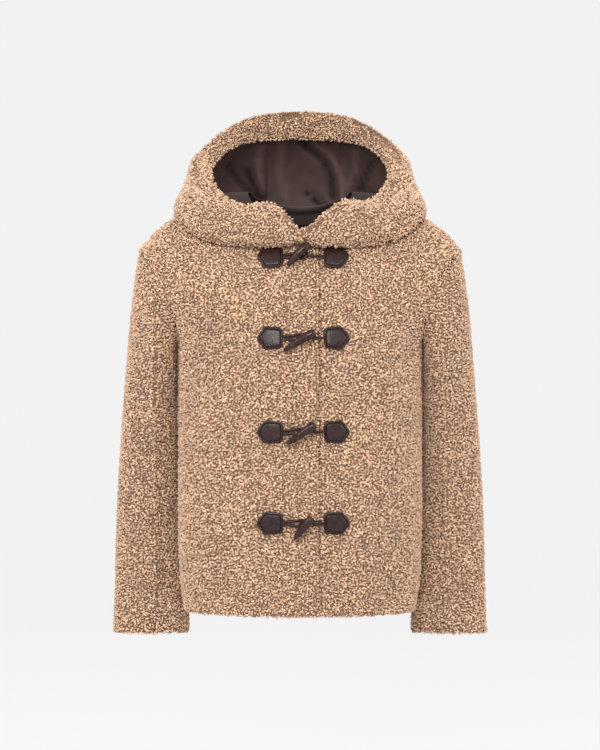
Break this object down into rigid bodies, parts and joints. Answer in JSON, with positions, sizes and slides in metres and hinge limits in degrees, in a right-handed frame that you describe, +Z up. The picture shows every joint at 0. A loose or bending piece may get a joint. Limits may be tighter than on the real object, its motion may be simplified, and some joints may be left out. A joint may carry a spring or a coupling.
{
  "type": "hooded duffle coat",
  "caption": "Short hooded duffle coat in curly pile cloth, worn form with no wearer, fastened in front by horn toggles in leather loops on leather patches.",
  "frame": {"origin": "centre of the neck opening, level with the points where the shoulder seams meet the neck", "axes": "+Z up the standing garment, -Y out of the front, +X to the wearer's left"},
  "size_m": [0.57, 0.3941, 0.8021],
  "materials": {
    "pile_cloth": "beige curly pile cloth, matt",
    "lining": "dark brown satin lining",
    "leather": "dark brown leather, semi-gloss, stitched",
    "leather_cord": "dark brown leather cord, satin",
    "horn": "dark brown horn, polished"
  },
  "bodies": {
    "root": {"front_over": "pile_cloth", "front_under": "pile_cloth", "back": "pile_cloth", "sleeve_right_top": "pile_cloth", "sleeve_right_under": "pile_cloth", "sleeve_left_top": "pile_cloth", "sleeve_left_under": "pile_cloth", "hood_right": "pile_cloth", "hood_left": "pile_cloth", "hood_centre": "pile_cloth", "hood_facing": "pile_cloth", "hood_lining_right": "lining", "hood_lining_left": "lining", "hood_lining_centre": "lining", "neck_band": "lining", "patch_loop_1": "leather", "patch_loop_2": "leather", "patch_loop_3": "leather", "patch_loop_4": "leather", "patch_toggle_1": "leather", "patch_toggle_2": "leather", "patch_toggle_3": "leather", "patch_toggle_4": "leather", "loop_1": "leather_cord", "loop_2": "leather_cord", "loop_3": "leather_cord", "loop_4": "leather_cord", "cord_1": "leather_cord", "cord_2": "leather_cord", "cord_3": "leather_cord", "cord_4": "leather_cord", "toggle_1": "horn", "toggle_2": "horn", "toggle_3": "horn", "toggle_4": "horn"}
  },
  "joints": []
}
